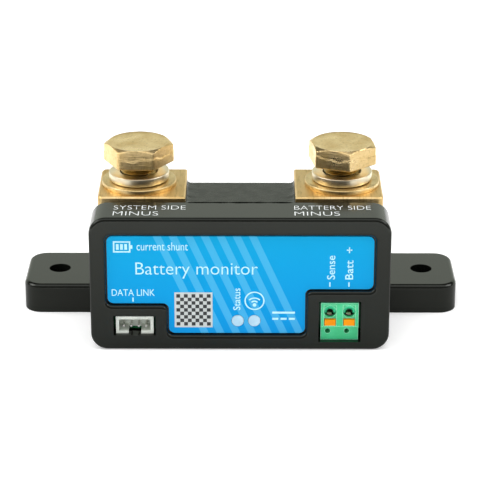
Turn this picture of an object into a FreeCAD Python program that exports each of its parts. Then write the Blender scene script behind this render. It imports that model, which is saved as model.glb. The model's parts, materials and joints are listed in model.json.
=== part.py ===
"""Battery monitor shunt: two brass terminal blocks joined by resistor strips, in a moulded casing
with mounting ears, with a measuring board, a data header and a push-in terminal at the front.

Millimetres. +Z is up and the front faces -Y. The origin is on the underside, midway between the
two mounting holes. Both terminal bolts stand on the line through the mounting holes.
"""
import FreeCAD, Part
import math
import os

os.makedirs("parts", exist_ok=True)

V = FreeCAD.Vector

# ---- driving dimensions -------------------------------------------------------------------
# casing and ears
ears_width = 120.0
ear_depth = 24.6
ear_height = 8.2
ear_corner_r = 5.0
ear_edge_r = 1.2
hole_spacing = 101.6
hole_d = 6.0
tub_wall = 1.9
tub_side_wall = 1.2
tub_height = 22.0
tub_corner_r = 2.5
tub_edge_r = 0.6
tub_front_floor = 2.0
pedestal_overhang = 2.0

# front cover
cover_width = 79.5
cover_height = 37.6
cover_front = 37.0
cover_depth = 11.9
cover_wall = 2.0
cover_front_wall = 3.0
cover_corner_r = 4.5
cover_edge_r = 1.0
pocket_depth = 1.5
pocket_rim_r = 1.1
plate_thickness = 2.0

# terminal blocks and the hardware on them
block_inner_x = 15.05
block_width = 23.95
block_depth = 22.7
block_height = 26.0
block_top = 33.8
block_edge_r = 1.5
block_chamfer = 0.4
thread_d = 10.0
thread_depth = 20.0
bolt_inset = 13.0
bolt_length = 20.0
bolt_end_chamfer = 1.0
hex_af = 17.0
hex_flat_share = 0.97
hex_crown_angle = 30.0
head_height = 5.5
head_gap = 2.6
left_hex_turn = -3.0
right_hex_turn = -20.0
flat_washer_d = 20.5
flat_washer_t = 1.4
spring_washer_d = 16.6
spring_washer_t = 2.7
spring_washer_split = 1.6

# resistor strips and the cover over them
strip_count = 4
strip_thickness = 1.2
strip_height = 12.0
strip_pitch = 5.0
strip_seat = 2.0
strip_lift = 2.0
bridge_top = 30.0
bridge_wall = 1.8
bridge_back = 11.1
bridge_edge_r = 0.8

# measuring board and what is soldered to it
board_side_gap = 2.45
board_end_gap = 1.2
board_solder_gap = 1.3
board_thickness = 1.6
radio_size = (15.0, 2.0, 11.0)
radio_place = (4.5, 24.5)
chip_size = (7.0, 1.0, 7.0)
chip_place = (-12.0, 25.5)
capacitor_size = (3.4, 2.4, 2.8)
capacitor_places = ((-26.0, 27.0), (-20.0, 27.0), (18.0, 25.0), (24.0, 27.0))
resistor_size = (2.0, 0.6, 1.2)
resistor_rows = 3
resistor_row_start = (-6.0, 12.0)
resistor_pitch = (3.6, 2.6)

# label and status lights
label_thickness = 0.3
label_left_margin = 4.65
label_right_margin = 4.45
label_top_margin = 5.4
label_bottom = 4.45
label_over_header = 3.8
label_over_terminal = 3.75
label_beside_header = 4.15
label_beside_terminal = 4.2
label_corner_r = 1.6
label_gap = 0.35
light_d = 3.2
light_z = 8.0
light_xs = (-0.6, 3.8)
led_size = (1.6, 0.8, 1.6)

# data header
header_inset = 11.7
header_z = 6.8
header_width = 10.0
header_height = 4.9
header_wall = 0.8
header_floor = 1.0
header_recess = 1.0
header_notch = 3.4
pin_count = 4
pin_pitch = 2.0
pin_size = 0.5
pin_setback = 1.2
pin_drop = 0.8
tail_length = 0.8

# push-in terminal
terminal_inset = 13.25
terminal_z = 7.95
terminal_width = 10.0
terminal_height = 11.0
terminal_recess = 0.6
terminal_step_z = 6.55
terminal_step = 0.9
terminal_chamber = 1.9
pole_pitch = 5.08
entry_d = 3.1
entry_z = 10.75
funnel_d = 3.3
funnel_depth = 0.55
button_width = 2.95
button_height = 1.7
button_z = 7.87
button_proud = 0.5
button_travel = 1.2
button_edge_r = 0.25
button_back_gap = 0.2
chamber_side_wall = 0.6
chamber_low_wall = 0.8
leaf_width = 3.0
leaf_thickness = 0.3
leaf_below_button = 2.0
leaf_above_entry = 1.4
contact_width = 3.2
contact_end_gap = 0.4
test_d = 1.4
test_z = 5.0
test_shift = -0.6
channel_width = 3.3
channel_depth = 0.45
channel_frame = 0.65
channel_sill = 0.3
solder_pin_d = 1.0

# screws
cover_screw_d = 2.9
cover_screw_head_d = 5.5
cover_screw_head_h = 2.0
cover_screw_bite = 6.0
boss_d = 6.4
boss_root = 0.5
upper_boss_inset = 6.0
upper_boss_z = 17.5
lower_boss_x = 12.0
lower_boss_z = 7.5
sense_inset = 6.95
sense_z = 17.0
sense_post_d = 5.0
sense_screw_d = 3.0
sense_screw_head_d = 5.5
sense_screw_head_h = 2.0
sense_screw_length = 6.0
block_screw_d = 4.0
block_screw_head_d = 7.0
block_screw_head_h = 2.6
block_screw_bite = 4.8
block_screw_y = 6.0
block_screw_sunk = 1.2

# clearances
seat_gap = 0.1
window_gap = 0.6
slide_gap = 0.1
hole_gap = 0.2
thread_gap = 0.05
shank_gap = 0.2

# ---- places that follow from them ---------------------------------------------------------
block_outer_x = block_inner_x + block_width
bolt_x = block_inner_x + bolt_inset
sense_x = block_inner_x + sense_inset
block_bottom = block_top - block_height
block_half_depth = block_depth / 2
tub_half_width = block_outer_x + seat_gap + tub_side_wall
tub_back = block_half_depth + seat_gap + tub_wall
tub_front = -(cover_front - cover_depth)
pedestal_front = -(block_half_depth + pedestal_overhang)
cover_half_width = cover_width / 2
front_inside = -(cover_front - cover_front_wall)
label_seat = -(cover_front - pocket_depth)
plate_front = tub_front - plate_thickness
board_back = plate_front - board_solder_gap
board_face = board_back - board_thickness
board_half_width = cover_half_width - cover_wall - board_side_gap
board_low = cover_wall + board_end_gap
board_high = cover_height - cover_wall - board_end_gap
upper_boss_x = min(block_outer_x, cover_half_width) - upper_boss_inset
boss_places = ((-upper_boss_x, upper_boss_z), (upper_boss_x, upper_boss_z),
               (-lower_boss_x, lower_boss_z), (lower_boss_x, lower_boss_z))
header_x = -(cover_half_width - header_inset)
terminal_x = cover_half_width - terminal_inset
flat_washer_top = block_top + flat_washer_t
spring_washer_top = flat_washer_top + spring_washer_t
head_bottom = spring_washer_top + head_gap
header_face = -(cover_front - header_recess)
terminal_face = -(cover_front - terminal_recess)
terminal_low = terminal_z - terminal_height / 2
terminal_high = terminal_z + terminal_height / 2
label_left = -(cover_half_width - label_left_margin)
label_right = cover_half_width - label_right_margin
label_top = cover_height - label_top_margin
label_left_low = header_z + header_height / 2 + label_over_header
label_right_low = terminal_high + label_over_terminal
label_step_left = header_x + header_width / 2 + label_beside_header
label_step_right = terminal_x - terminal_width / 2 - label_beside_terminal
chamber_front = board_face - terminal_chamber
channel_floor = terminal_face + channel_depth
pole_xs = (terminal_x - pole_pitch / 2, terminal_x + pole_pitch / 2)
pin_xs = [header_x + (i - (pin_count - 1) / 2) * pin_pitch for i in range(pin_count)]
pin_z = header_z - pin_drop
strip_ys = [(i - (strip_count - 1) / 2) * strip_pitch for i in range(strip_count)]
strip_low = block_bottom + strip_lift
tail_end = board_back + tail_length
leaf_front = chamber_front - button_back_gap + button_travel + slide_gap
leaf_back = leaf_front + leaf_thickness


# ---- shape helpers ------------------------------------------------------------------------
def box(x0, x1, y0, y1, z0, z1):
    """A box between two corners."""
    return Part.makeBox(x1 - x0, y1 - y0, z1 - z0, V(x0, y0, z0))


def box_on_board(place, size):
    """A box that stands on the board's front face, centred at (x, z)."""
    x, z = place
    wide, deep, high = size
    return box(x - wide / 2, x + wide / 2, board_face - deep, board_face, z - high / 2, z + high / 2)


def rod_y(x, z, y0, y1, d):
    """A round rod along Y."""
    return Part.makeCylinder(d / 2, y1 - y0, V(x, y0, z), V(0, 1, 0))


def rod_z(x, y, z0, z1, d):
    """A round rod along Z."""
    return Part.makeCylinder(d / 2, z1 - z0, V(x, y, z0), V(0, 0, 1))


def rounded(corners, radius, push):
    """Extrudes a polygon whose every corner is rounded by the same radius."""
    edges = []
    ends = []
    count = len(corners)
    for i, corner in enumerate(corners):
        to_last = (corners[i - 1] - corner).normalize()
        to_next = (corners[(i + 1) % count] - corner).normalize()
        half = to_last.getAngle(to_next) / 2
        trim = radius / math.tan(half)
        middle = (to_last + to_next).normalize()
        start = corner + to_last * trim
        end = corner + to_next * trim
        bend = corner + middle * (radius / math.sin(half) - radius)
        edges.append(Part.Arc(start, bend, end).toShape())
        ends.append((start, end))
    for i in range(count):
        edges.append(Part.LineSegment(ends[i][1], ends[(i + 1) % count][0]).toShape())
    outline = Part.Wire(Part.__sortEdges__(edges))
    return Part.Face(outline).extrude(push)


def plate_xz(x0, x1, z0, z1, y0, y1, radius):
    """A rounded rectangle in front view, extruded along Y."""
    corners = [V(x0, y0, z0), V(x1, y0, z0), V(x1, y0, z1), V(x0, y0, z1)]
    return rounded(corners, radius, V(0, y1 - y0, 0))


def plate_xy(x0, x1, y0, y1, z0, z1, radius):
    """A rounded rectangle in plan, extruded along Z."""
    corners = [V(x0, y0, z0), V(x1, y0, z0), V(x1, y1, z0), V(x0, y1, z0)]
    return rounded(corners, radius, V(0, 0, z1 - z0))


def edges_at(shape, axis, value):
    """The edges that lie wholly in the plane where x, y or z has this value."""
    found = []
    for edge in shape.Edges:
        low = getattr(edge.BoundBox, axis.upper() + "Min")
        high = getattr(edge.BoundBox, axis.upper() + "Max")
        if abs(low - value) < 1e-4 and abs(high - value) < 1e-4:
            found.append(edge)
    return found


def label_outline(grow, y0, y1):
    """The stepped label shape, grown all round, between two depths."""
    left = label_left - grow
    right = label_right + grow
    top = label_top + grow
    step_left = label_step_left - grow
    step_right = label_step_right + grow
    left_low = label_left_low - grow
    right_low = label_right_low - grow
    bottom = label_bottom - grow
    corners = [
        V(left, y0, top),
        V(right, y0, top),
        V(right, y0, right_low),
        V(step_right, y0, right_low),
        V(step_right, y0, bottom),
        V(step_left, y0, bottom),
        V(step_left, y0, left_low),
        V(left, y0, left_low),
    ]
    return rounded(corners, label_corner_r, V(0, y1 - y0, 0))


def save(name, *solids):
    """Writes one node: a solid, or a group of separate solids."""
    shape = solids[0] if len(solids) == 1 else Part.makeCompound(list(solids))
    if not shape.isValid():
        raise RuntimeError(name + " is not valid")
    shape.exportStep("parts/" + name + ".step")
    print(name, len(shape.Solids), "solid(s),", round(shape.Volume, 1), "mm3")


# ---- casing -------------------------------------------------------------------------------
def make_base_casing():
    """The tub that carries the blocks, with the two mounting ears."""
    half = ears_width / 2
    ears = plate_xy(-half, half, -ear_depth / 2, ear_depth / 2, 0, ear_height, ear_corner_r)
    ears = ears.makeFillet(ear_edge_r, edges_at(ears, "z", ear_height))
    tub = box(-tub_half_width, tub_half_width, tub_front, tub_back, 0, tub_height)
    back_corners = [edge for edge in edges_at(tub, "y", tub_back) if edge.BoundBox.XLength < 0.01]
    tub = tub.makeFillet(tub_corner_r, back_corners)
    tub = tub.makeFillet(tub_edge_r, edges_at(tub, "z", tub_height))
    casing = ears.fuse(tub)
    inside = tub_half_width - tub_side_wall
    inner_back = tub_back - tub_wall
    casing = casing.cut(box(-inside, inside, pedestal_front, inner_back, block_bottom, tub_height))
    front_room = box(-inside, inside, tub_front + tub_wall, pedestal_front, tub_front_floor, tub_height)
    casing = casing.cut(front_room)
    for side in (-1, 1):
        casing = casing.cut(rod_z(side * hole_spacing / 2, 0, 0, ear_height, hole_d))
        post_hole = rod_y(side * sense_x, sense_z, tub_front, tub_front + tub_wall,
                          sense_post_d + 2 * hole_gap)
        casing = casing.cut(post_hole)
        for y in (-block_screw_y, block_screw_y):
            sunk = block_screw_sunk + block_screw_head_h
            casing = casing.cut(rod_z(side * bolt_x, y, 0, block_bottom, block_screw_d + 2 * hole_gap))
            casing = casing.cut(rod_z(side * bolt_x, y, 0, sunk, block_screw_head_d + 2 * hole_gap))
    for x, z in boss_places:
        casing = casing.cut(rod_y(x, z, tub_front, tub_front + tub_wall, cover_screw_d + 2 * hole_gap))
    return casing.removeSplitter()


def make_front_cover():
    """The box-shaped shell at the front, open at the back, with the label pocket and windows."""
    half = cover_half_width
    shell = plate_xz(-half, half, 0, cover_height, -cover_front, tub_front, cover_corner_r)
    shell = shell.makeFillet(cover_edge_r, edges_at(shell, "y", -cover_front))
    inner = cover_half_width - cover_wall
    room = plate_xz(-inner, inner, cover_wall, cover_height - cover_wall, front_inside, tub_front,
                    cover_corner_r - cover_wall)
    shell = shell.cut(room)
    for x, z in boss_places:
        shell = shell.fuse(rod_y(x, z, front_inside - boss_root, plate_front, boss_d))
    for x, z in boss_places:
        bite_end = plate_front - cover_screw_bite
        shell = shell.cut(rod_y(x, z, bite_end, plate_front, cover_screw_d))
    shell = shell.cut(label_outline(label_gap, -cover_front, label_seat))
    rim = [edge for edge in edges_at(shell, "y", -cover_front)
           if edge.BoundBox.XMin > label_left - 1 and edge.BoundBox.XMax < label_right + 1
           and edge.BoundBox.ZMin > label_bottom - 1 and edge.BoundBox.ZMax < label_top + 1]
    shell = shell.makeFillet(pocket_rim_r, rim)
    for x in light_xs:
        shell = shell.cut(rod_y(x, light_z, label_seat, front_inside, light_d + 2 * seat_gap))
    header_window = box(header_x - header_width / 2 - window_gap, header_x + header_width / 2 + window_gap,
                        -cover_front, front_inside,
                        header_z - header_height / 2 - seat_gap, header_z + header_height / 2 + window_gap)
    terminal_window = box(terminal_x - terminal_width / 2 - window_gap,
                          terminal_x + terminal_width / 2 + window_gap,
                          -cover_front, front_inside,
                          terminal_low - seat_gap, terminal_high + window_gap)
    shell = shell.cut(header_window)
    shell = shell.cut(terminal_window)
    return shell.removeSplitter()


def make_rear_plate():
    """The plate that closes the back of the front cover."""
    inner = cover_half_width - cover_wall - seat_gap
    plate = plate_xz(-inner, inner, cover_wall + seat_gap, cover_height - cover_wall - seat_gap,
                     plate_front, tub_front, cover_corner_r - cover_wall - seat_gap)
    for side in (-1, 1):
        plate = plate.cut(rod_y(side * sense_x, sense_z, plate_front, tub_front,
                                sense_post_d + 2 * hole_gap))
    for x, z in boss_places:
        plate = plate.cut(rod_y(x, z, plate_front, tub_front, cover_screw_d + 2 * hole_gap))
    return plate


def make_centre_cover():
    """The T-shaped cover behind the front cover, with a tongue between the two blocks."""
    tongue = block_inner_x - seat_gap
    bar_back = -(block_half_depth + seat_gap)
    outer = box(-tub_half_width, tub_half_width, tub_front, bar_back, tub_height, bridge_top)
    outer = outer.fuse(box(-tongue, tongue, bar_back, bridge_back, tub_height, bridge_top))
    outer = outer.removeSplitter()
    outer = outer.makeFillet(bridge_edge_r, edges_at(outer, "z", bridge_top))
    roof = bridge_top - bridge_wall
    inner = box(-tub_half_width + bridge_wall, tub_half_width - bridge_wall, tub_front + bridge_wall,
                bar_back - bridge_wall, tub_height, roof)
    inner = inner.fuse(box(-tongue + bridge_wall, tongue - bridge_wall, bar_back - bridge_wall,
                           bridge_back - bridge_wall, tub_height, roof))
    return outer.cut(inner)


# ---- power path ---------------------------------------------------------------------------
def make_block(side):
    """A brass terminal block with its threaded hole, strip slots and fixing holes."""
    x_near = side * block_inner_x
    x_far = side * block_outer_x
    body = box(min(x_near, x_far), max(x_near, x_far), -block_half_depth, block_half_depth,
               block_bottom, block_top)
    corners = []
    for edge in body.Edges:
        limits = edge.BoundBox
        upright = limits.ZLength > block_height - 0.1
        if upright and abs(limits.XMin - x_far) < 0.01:
            corners.append(edge)
    body = body.makeFillet(block_edge_r, corners)
    body = body.makeChamfer(block_chamfer, edges_at(body, "z", block_top))
    body = body.cut(rod_z(side * bolt_x, 0, block_top - thread_depth, block_top,
                          thread_d + 2 * thread_gap))
    seat_end = side * (block_inner_x + strip_seat)
    for y in strip_ys:
        body = body.cut(box(min(x_near, seat_end), max(x_near, seat_end), y - strip_thickness / 2,
                            y + strip_thickness / 2, strip_low, strip_low + strip_height))
    for y in (-block_screw_y, block_screw_y):
        body = body.cut(rod_z(side * bolt_x, y, block_bottom, block_bottom + block_screw_bite,
                              block_screw_d))
    body = body.cut(rod_y(side * sense_x, sense_z, -block_half_depth,
                          -block_half_depth + sense_screw_length, sense_screw_d))
    return body


def make_strips():
    """The resistor strips, brazed at both ends into slots in the blocks."""
    reach = block_inner_x + strip_seat
    return [box(-reach, reach, y - strip_thickness / 2, y + strip_thickness / 2,
                strip_low, strip_low + strip_height) for y in strip_ys]


def make_bolt(side, turn):
    """A hexagon-head terminal bolt, drawn at the height where it leaves the gap for a cable lug."""
    corner = hex_af / math.sqrt(3)
    points = []
    for i in range(7):
        angle = math.radians(turn + 60 * i)
        points.append(V(side * bolt_x + corner * math.cos(angle), corner * math.sin(angle), head_bottom))
    head = Part.Face(Part.makePolygon(points)).extrude(V(0, 0, head_height))
    crown_r = hex_af / 2 * hex_flat_share
    rise = (corner - crown_r) * math.tan(math.radians(hex_crown_angle))
    lower = rod_z(side * bolt_x, 0, head_bottom, head_bottom + head_height - rise, 2 * corner + 1)
    crown = Part.makeCone(corner, crown_r, rise,
                          V(side * bolt_x, 0, head_bottom + head_height - rise), V(0, 0, 1))
    head = head.common(lower.fuse(crown))
    shank = rod_z(side * bolt_x, 0, head_bottom - bolt_length, head_bottom, thread_d)
    shank = shank.makeChamfer(bolt_end_chamfer, edges_at(shank, "z", head_bottom - bolt_length))
    return head.fuse(shank).removeSplitter()


def make_flat_washer(side):
    """The plain washer that lies on the block."""
    ring = rod_z(side * bolt_x, 0, block_top, flat_washer_top, flat_washer_d)
    return ring.cut(rod_z(side * bolt_x, 0, block_top, flat_washer_top, thread_d + 2 * shank_gap))


def make_spring_washer(side):
    """The split lock washer under the bolt head."""
    x = side * bolt_x
    ring = rod_z(x, 0, flat_washer_top, spring_washer_top, spring_washer_d)
    ring = ring.cut(rod_z(x, 0, flat_washer_top, spring_washer_top, thread_d + 2 * shank_gap))
    split = box(x - spring_washer_split / 2, x + spring_washer_split / 2, 0, spring_washer_d,
                flat_washer_top, spring_washer_top)
    return ring.cut(split)


# ---- board --------------------------------------------------------------------------------
def make_board():
    """The measuring board, upright behind the front wall."""
    board = box(-board_half_width, board_half_width, board_face, board_back, board_low, board_high)
    for x, z in boss_places:
        board = board.cut(rod_y(x, z, board_face, board_back, boss_d + 2 * hole_gap))
    for side in (-1, 1):
        board = board.cut(rod_y(side * sense_x, sense_z, board_face, board_back,
                                sense_screw_d + 2 * hole_gap))
    for x in pin_xs:
        board = board.cut(rod_y(x, pin_z, board_face, board_back, pin_size * math.sqrt(2) + seat_gap))
    for x in pole_xs:
        board = board.cut(rod_y(x, terminal_z, board_face, board_back, solder_pin_d + seat_gap))
    return board


def make_resistors():
    """Small resistors in two columns per row."""
    x0, z0 = resistor_row_start
    places = [(x0 + i * resistor_pitch[0], z0 + j * resistor_pitch[1])
              for i in range(2) for j in range(resistor_rows)]
    return [box_on_board(place, resistor_size) for place in places]


def make_light_pipes():
    """Clear rods that carry the light of the two status lights to the label."""
    low = board_face - led_size[1] - hole_gap
    return [rod_y(x, light_z, label_seat - label_thickness, low, light_d) for x in light_xs]


def make_label():
    """The printed label in the cover's pocket."""
    label = label_outline(0, label_seat - label_thickness, label_seat)
    for x in light_xs:
        label = label.cut(rod_y(x, light_z, label_seat - label_thickness, label_seat,
                                light_d + 2 * seat_gap))
    return label


# ---- connectors ---------------------------------------------------------------------------
def make_header():
    """The data header's shroud, open at the front, notched in its lower wall."""
    half_w = header_width / 2
    half_h = header_height / 2
    shroud = box(header_x - half_w, header_x + half_w, header_face, board_face,
                 header_z - half_h, header_z + half_h)
    shroud = shroud.cut(box(header_x - half_w + header_wall, header_x + half_w - header_wall,
                            header_face, board_face - header_floor,
                            header_z - half_h + header_wall, header_z + half_h - header_wall))
    shroud = shroud.cut(box(header_x - header_notch / 2, header_x + header_notch / 2,
                            header_face, board_face - header_floor,
                            header_z - half_h, header_z - half_h + header_wall))
    for x in pin_xs:
        shroud = shroud.cut(pin_box(x, board_face - header_floor, board_face))
    return shroud


def pin_box(x, y0, y1):
    """A length of square header pin."""
    return box(x - pin_size / 2, x + pin_size / 2, y0, y1, pin_z - pin_size / 2, pin_z + pin_size / 2)


def make_terminal_housing():
    """The two-pole push-in terminal's body."""
    half = terminal_width / 2
    body = box(terminal_x - half, terminal_x + half, terminal_face, board_face,
               terminal_low, terminal_high)
    body = body.cut(box(terminal_x - half, terminal_x + half, terminal_face,
                        terminal_face + terminal_step, terminal_low, terminal_step_z))
    for x in pole_xs:
        room = pole_pitch / 2 - chamber_side_wall
        body = body.cut(box(x - room, x + room, chamber_front, board_face,
                            terminal_low + chamber_low_wall, terminal_high - chamber_side_wall))
        body = body.cut(box(x - channel_width / 2, x + channel_width / 2, terminal_face, channel_floor,
                            terminal_step_z + channel_sill, terminal_high - channel_frame))
        body = body.cut(rod_y(x, entry_z, channel_floor, chamber_front, entry_d))
        body = body.cut(Part.makeCone(funnel_d / 2, entry_d / 2, funnel_depth,
                                      V(x, channel_floor, entry_z), V(0, 1, 0)))
        slot_w = button_width / 2 + slide_gap
        slot_h = button_height / 2 + slide_gap
        body = body.cut(box(x - slot_w, x + slot_w, terminal_face, chamber_front,
                            button_z - slot_h, button_z + slot_h))
        body = body.cut(rod_y(x + test_shift, test_z, terminal_face, chamber_front, test_d))
    return body


def make_button(x):
    """The button that is pushed in to release a wire."""
    front = terminal_face - button_proud
    back = chamber_front - button_back_gap
    button = box(x - button_width / 2, x + button_width / 2, front, back,
                 button_z - button_height / 2, button_z + button_height / 2)
    return button.makeFillet(button_edge_r, edges_at(button, "y", front))


def make_clamp_spring(x):
    """The leaf behind the button, resting on the contact below it."""
    return box(x - leaf_width / 2, x + leaf_width / 2, leaf_front, leaf_back,
               button_z - leaf_below_button, entry_z + leaf_above_entry)


def make_contact(x):
    """The contact plate on the board, with its solder pin."""
    low = terminal_low + chamber_low_wall + contact_end_gap
    high = terminal_high - chamber_side_wall - contact_end_gap
    plate = box(x - contact_width / 2, x + contact_width / 2, leaf_back, board_face, low, high)
    return plate.fuse(rod_y(x, terminal_z, board_face, tail_end, solder_pin_d)).removeSplitter()


# ---- screws and posts ---------------------------------------------------------------------
def make_sense_post(side):
    """The post that carries a block's voltage to the board."""
    x = side * sense_x
    post = rod_y(x, sense_z, board_back, -block_half_depth, sense_post_d)
    stud = rod_y(x, sense_z, -block_half_depth, -block_half_depth + sense_screw_length, sense_screw_d)
    post = post.fuse(stud)
    screw_end = board_face + sense_screw_length
    return post.cut(rod_y(x, sense_z, board_back, screw_end, sense_screw_d)).removeSplitter()


def make_sense_screw(side):
    """The screw that holds the board to a sense post."""
    x = side * sense_x
    head = rod_y(x, sense_z, board_face - sense_screw_head_h, board_face, sense_screw_head_d)
    return head.fuse(rod_y(x, sense_z, board_face, board_face + sense_screw_length, sense_screw_d))


def make_cover_screw(x, z):
    """A screw from inside the tub through the plate into a boss of the front cover."""
    head_seat = tub_front + tub_wall
    head = rod_y(x, z, head_seat, head_seat + cover_screw_head_h, cover_screw_head_d)
    return head.fuse(rod_y(x, z, plate_front - cover_screw_bite, head_seat, cover_screw_d))


def make_block_screw(side, y):
    """A screw from below that holds a block in the tub."""
    x = side * bolt_x
    head_top = block_screw_sunk + block_screw_head_h
    head = rod_z(x, y, block_screw_sunk, head_top, block_screw_head_d)
    return head.fuse(rod_z(x, y, head_top, block_bottom + block_screw_bite, block_screw_d))


# ---- every node ---------------------------------------------------------------------------
save("base_casing", make_base_casing())
save("front_cover", make_front_cover())
save("rear_plate", make_rear_plate())
save("centre_cover", make_centre_cover())
for name, side, turn in (("left", -1, left_hex_turn), ("right", 1, right_hex_turn)):
    save(name + "_block", make_block(side))
    save(name + "_bolt", make_bolt(side, turn))
    save(name + "_flat_washer", make_flat_washer(side))
    save(name + "_spring_washer", make_spring_washer(side))
save("resistor_strips", *make_strips())
save("circuit_board", make_board())
save("radio_module", box_on_board(radio_place, radio_size))
save("processor_chip", box_on_board(chip_place, chip_size))
save("board_capacitors", *[box_on_board(place, capacitor_size) for place in capacitor_places])
save("board_resistors", *make_resistors())
save("status_lights", *[box_on_board((x, light_z), led_size) for x in light_xs])
save("light_pipes", *make_light_pipes())
save("front_label", make_label())
save("data_header", make_header())
save("data_header_pins", *[pin_box(x, header_face + pin_setback, tail_end) for x in pin_xs])
save("terminal_housing", make_terminal_housing())
for name, x in zip(("left", "right"), pole_xs):
    save(name + "_release_button", make_button(x))
save("clamp_springs", *[make_clamp_spring(x) for x in pole_xs])
save("terminal_contacts", *[make_contact(x) for x in pole_xs])
save("sense_posts", *[make_sense_post(side) for side in (-1, 1)])
save("sense_screws", *[make_sense_screw(side) for side in (-1, 1)])
save("cover_screws", *[make_cover_screw(x, z) for x, z in boss_places])
save("block_screws", *[make_block_screw(side, y)
                       for side in (-1, 1) for y in (-block_screw_y, block_screw_y)])
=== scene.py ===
# %% [markdown]
# # A battery monitor shunt
# The CAD model already holds every size, so this script only adds looks. It loads the packed
# model as a fixed frame, gives each CAD piece a finish, and builds new meshes where a plain CAD
# solid can't show the real shape: the screw threads, the forged heads, the twisted lock washers,
# the print on the label and the beads of sealant.

# %% Load the frame
import json
import math
import random

import bmesh
import bpy
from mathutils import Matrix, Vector


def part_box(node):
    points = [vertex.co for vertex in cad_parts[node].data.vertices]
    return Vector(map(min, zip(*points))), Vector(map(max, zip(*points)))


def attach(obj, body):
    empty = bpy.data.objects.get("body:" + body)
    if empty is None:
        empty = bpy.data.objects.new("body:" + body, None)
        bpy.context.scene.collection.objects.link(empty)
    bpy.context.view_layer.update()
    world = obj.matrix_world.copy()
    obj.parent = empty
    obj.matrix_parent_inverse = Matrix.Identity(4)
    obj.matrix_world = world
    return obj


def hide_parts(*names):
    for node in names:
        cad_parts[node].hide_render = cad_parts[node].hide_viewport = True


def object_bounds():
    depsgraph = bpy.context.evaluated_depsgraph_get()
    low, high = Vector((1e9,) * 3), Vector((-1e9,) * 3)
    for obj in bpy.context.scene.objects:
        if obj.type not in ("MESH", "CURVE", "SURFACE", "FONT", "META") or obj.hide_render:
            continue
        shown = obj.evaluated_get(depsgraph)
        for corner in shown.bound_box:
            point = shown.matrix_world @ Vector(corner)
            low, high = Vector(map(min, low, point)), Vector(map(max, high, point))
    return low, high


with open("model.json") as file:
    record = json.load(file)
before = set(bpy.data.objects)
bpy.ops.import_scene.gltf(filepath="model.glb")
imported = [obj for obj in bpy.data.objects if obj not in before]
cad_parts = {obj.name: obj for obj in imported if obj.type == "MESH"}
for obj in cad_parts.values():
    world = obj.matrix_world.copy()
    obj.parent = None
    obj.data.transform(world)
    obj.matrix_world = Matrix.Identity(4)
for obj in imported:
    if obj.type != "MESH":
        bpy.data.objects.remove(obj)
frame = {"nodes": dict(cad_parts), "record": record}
nodes = frame["nodes"]
cad_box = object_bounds()
MM = 0.001
MICRON = 0.000001
SIDES = ("left", "right")
print("CAD nodes:", len(nodes))

# %% [markdown]
# ## Camera and light
# The camera stands in front and a little above, far back with a long lens, as in a product
# studio. A long lens keeps the edges of a small object nearly parallel.

# %% The camera
CAMERA_PLACE = (0.00202, -0.56207, 0.24383)
CAMERA_DOWN = 22.0
CAMERA_TURN = 0.22
CAMERA_LENS = 162.25


def in_scene(name, data):
    """A new object that holds this data, linked to the scene."""
    thing = bpy.data.objects.new(name, data)
    bpy.context.scene.collection.objects.link(thing)
    return thing


def place_camera():
    """The camera in front of the object, looking down at it."""
    data = bpy.data.cameras.new("camera")
    data.lens = CAMERA_LENS
    data.sensor_width = 36.0
    data.clip_start = 0.01
    camera = in_scene("camera", data)
    camera.location = CAMERA_PLACE
    camera.rotation_euler = (math.radians(90.0 - CAMERA_DOWN), 0.0, math.radians(CAMERA_TURN))
    bpy.context.scene.camera = camera


place_camera()
bpy.context.scene.view_settings.view_transform = "Standard"
print("camera lens, mm:", CAMERA_LENS)

# %% [markdown]
# Two large soft boxes light the object, but they don't mirror in it. Two small ones at the
# sides do, and leave a glint on each rounded corner of the ears. Keeping the two jobs apart lets
# the black plastic stay black while the print and the brass are still well lit.


# %% Soft boxes
def soft_box(name, place, aim, size, watts, mirrored):
    """An area light that faces a point, and shows in reflections only if mirrored."""
    data = bpy.data.lights.new(name, "AREA")
    data.shape = "RECTANGLE"
    data.size = size[0]
    data.size_y = size[1]
    data.energy = watts
    lamp = in_scene(name, data)
    lamp.location = place
    direction = Vector(aim) - Vector(place)
    lamp.rotation_euler = direction.to_track_quat("-Z", "Y").to_euler()
    lamp.visible_glossy = mirrored


LOW_MIDDLE = (0.0, 0.0, 0.02)
soft_box("overhead_box", (0.0, 0.3, 1.6), (0.0, 0.3, 0.0), size=(2.4, 2.4), watts=16.0, mirrored=False)
soft_box("front_box", (-0.15, -0.90, 0.32), LOW_MIDDLE, size=(0.6, 0.4), watts=3.3, mirrored=False)
soft_box("left_box", (-0.60, 0.0, 0.52), LOW_MIDDLE, size=(0.42, 0.36), watts=1.5, mirrored=True)
soft_box("right_box", (0.60, 0.0, 0.52), LOW_MIDDLE, size=(0.42, 0.36), watts=1.3, mirrored=True)
print("soft boxes placed:", len(bpy.data.lights))

# %% [markdown]
# What mirrors in the object is mostly the world. It has bands from the back horizon, over the
# top, to the front: pale, dark, bright, dark. On glossy black edges they draw crisp lines, and on
# brass they make a bright top and a deep front. The back band is faintly green, as a studio wall
# can be. A ray from the camera sees plain white instead, so that no band shows behind the object.

# %% Nodes for the studio
MIX_FACTOR, MIX_FIRST, MIX_SECOND, MIX_RESULT = 0, 6, 7, 2


def add_node(tree, kind, **values):
    """A node with its input sockets set by name."""
    node = tree.nodes.new(kind)
    for socket, value in values.items():
        node.inputs[socket.replace("_", " ")].default_value = value
    return node


def calculated(tree, operation, *terms):
    """The result of one sum. Each term is a number or the output of another node."""
    node = tree.nodes.new("ShaderNodeMath")
    node.operation = operation
    for socket, term in zip(node.inputs, terms):
        if isinstance(term, float):
            socket.default_value = term
        else:
            tree.links.new(term, socket)
    return node.outputs[0]


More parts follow.
